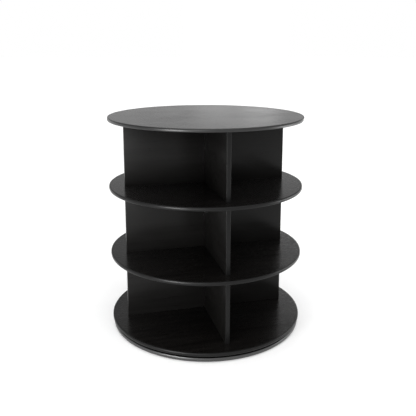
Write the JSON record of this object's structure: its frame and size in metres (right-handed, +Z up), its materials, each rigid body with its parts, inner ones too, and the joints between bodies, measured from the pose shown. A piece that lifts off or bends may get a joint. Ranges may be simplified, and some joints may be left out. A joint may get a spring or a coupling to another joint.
{
  "type": "rotating shoe tower",
  "caption": "Round free-standing shoe tower: stacked discs with crossed upright panels between them, turning together on a ball bearing over a fixed base.",
  "frame": {"origin": "on the floor, under the middle of the tower", "axes": "+Z up, +X along the wide panels, -Y towards the side that the picture shows"},
  "size_m": [0.6, 0.6, 0.659],
  "materials": {
    "board": "semi-gloss black laminate on board, with a black edge band",
    "panel": "semi-gloss black laminate on board",
    "foot": "matt black",
    "race": "zinc plated pressed steel",
    "ball": "polished bearing steel",
    "cage": "natural nylon",
    "cam": "bare die-cast zinc",
    "fastener": "zinc plated",
    "dowel": "bare beech"
  },
  "bodies": {
    "base": {"base_board": "board", "foot_pad_1": "foot", "foot_pad_2": "foot", "foot_pad_3": "foot", "foot_pad_4": "foot", "lower_bearing_race": "race", "lower_race_screw_1": "fastener", "lower_race_screw_2": "fastener", "lower_race_screw_3": "fastener", "lower_race_screw_4": "fastener"},
    "cage": {"ball_cage": "cage", "bearing_ball_1": "ball", "bearing_ball_2": "ball", "bearing_ball_3": "ball", "bearing_ball_4": "ball", "bearing_ball_5": "ball", "bearing_ball_6": "ball"},
    "tower": {"upper_bearing_race": "race", "upper_race_screw_1": "fastener", "upper_race_screw_2": "fastener", "upper_race_screw_3": "fastener", "upper_race_screw_4": "fastener", "bottom_shelf": "board", "bottom_shelf_bolt_1": "fastener", "bottom_shelf_bolt_2": "fastener", "bottom_shelf_dowel_1": "dowel", "bottom_shelf_dowel_2": "dowel", "lower_wide_panel": "panel", "lower_cross_panel": "panel", "lower_cam_lock_1": "cam", "lower_cam_lock_2": "cam", "lower_cam_lock_3": "cam", "lower_cam_lock_4": "cam", "lower_shelf": "board", "lower_shelf_bolt_1": "fastener", "lower_shelf_bolt_2": "fastener", "lower_shelf_dowel_1": "dowel", "lower_shelf_dowel_2": "dowel", "middle_wide_panel": "panel", "middle_cross_panel": "panel", "middle_cam_lock_1": "cam", "middle_cam_lock_2": "cam", "middle_cam_lock_3": "cam", "middle_cam_lock_4": "cam", "upper_shelf": "board", "upper_shelf_bolt_1": "fastener", "upper_shelf_bolt_2": "fastener", "upper_shelf_dowel_1": "dowel", "upper_shelf_dowel_2": "dowel", "upper_wide_panel": "panel", "upper_cross_panel": "panel", "upper_cam_lock_1": "cam", "upper_cam_lock_2": "cam", "upper_cam_lock_3": "cam", "upper_cam_lock_4": "cam", "top_board": "board", "top_board_bolt_1": "fastener", "top_board_bolt_2": "fastener", "top_board_dowel_1": "dowel", "top_board_dowel_2": "dowel"}
  },
  "joints": [
    {"name": "turntable_spin", "type": "hinge", "parent": "base", "child": "tower", "pos_m": [0, 0, 0.016], "axis": [0, 0, 1], "continuous": true},
    {"name": "ball_cage_spin", "type": "hinge", "parent": "base", "child": "cage", "pos_m": [0, 0, 0.016], "axis": [0, 0, 1], "continuous": true}
  ],
  "couplings": [
    {"joint": "ball_cage_spin", "follows": "turntable_spin", "ratio": 0.5}
  ]
}
